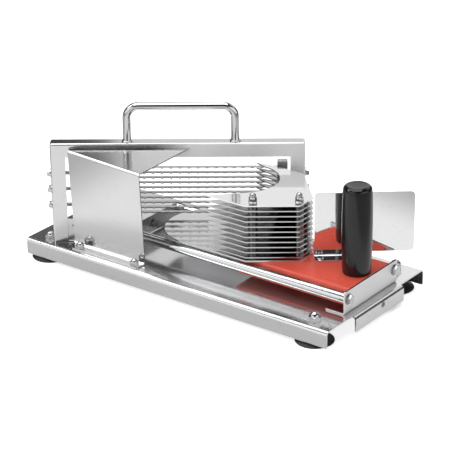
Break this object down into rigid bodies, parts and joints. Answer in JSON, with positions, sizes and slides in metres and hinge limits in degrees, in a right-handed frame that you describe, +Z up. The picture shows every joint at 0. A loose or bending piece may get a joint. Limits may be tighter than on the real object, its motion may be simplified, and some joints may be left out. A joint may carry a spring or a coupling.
{
  "type": "tomato slicer",
  "caption": "Hand slicer with a folded steel base, a diagonal frame of serrated blades and a pusher of stacked plates on a red block that slides along two rails by an upright grip",
  "frame": {"origin": "on the table under the middle of the footprint", "axes": "+X along the rails to the grip end, +Y to the back, +Z up"},
  "size_m": [0.433, 0.206, 0.1972],
  "materials": {
    "base_steel": "polished sheet",
    "frame_steel": "satin sheet",
    "guard_steel": "polished sheet",
    "bright_steel": "mirror polished",
    "plate_steel": "polished",
    "blade_steel": "ground",
    "fastener_steel": "bright",
    "red_plastic": "smooth",
    "black_plastic": "gloss",
    "black_rubber": "matt"
  },
  "bodies": {
    "base": {"base_tray": "base_steel", "feet": "black_rubber", "foot_studs": "fastener_steel", "foot_nuts": "fastener_steel", "right_rail_bracket": "frame_steel", "left_rail_bracket": "frame_steel", "front_rail": "bright_steel", "back_rail": "bright_steel", "rail_bolts": "fastener_steel", "rail_washers": "fastener_steel", "stop_bolt": "fastener_steel", "stop_nut": "fastener_steel", "blade_frame": "frame_steel", "frame_feet": "frame_steel", "frame_bolts": "fastener_steel", "frame_nuts": "fastener_steel", "left_blade_holder": "frame_steel", "right_blade_holder": "frame_steel", "blades": "blade_steel", "blade_pins": "fastener_steel", "tension_bolts": "fastener_steel", "tension_washers": "fastener_steel", "carry_handle": "bright_steel", "handle_collars": "bright_steel", "handle_screws": "fastener_steel", "front_guard": "guard_steel", "guard_bolts": "fastener_steel", "guard_nuts": "fastener_steel"},
    "trolley": {"upper_slide": "red_plastic", "lower_slide": "red_plastic", "slide_screws": "fastener_steel", "carrier_plate": "plate_steel", "pusher_plates": "plate_steel", "pusher_spacers": "fastener_steel", "pusher_studs": "fastener_steel", "pusher_washers": "fastener_steel", "pusher_nuts": "fastener_steel", "hand_guard": "bright_steel", "hand_guard_screws": "fastener_steel", "grip": "black_plastic", "grip_stud": "fastener_steel"}
  },
  "joints": [
    {"name": "pusher_slide", "type": "slide", "parent": "base", "child": "trolley", "axis": [-1, 0, 0], "range_m": [0, 0.15]}
  ]
}
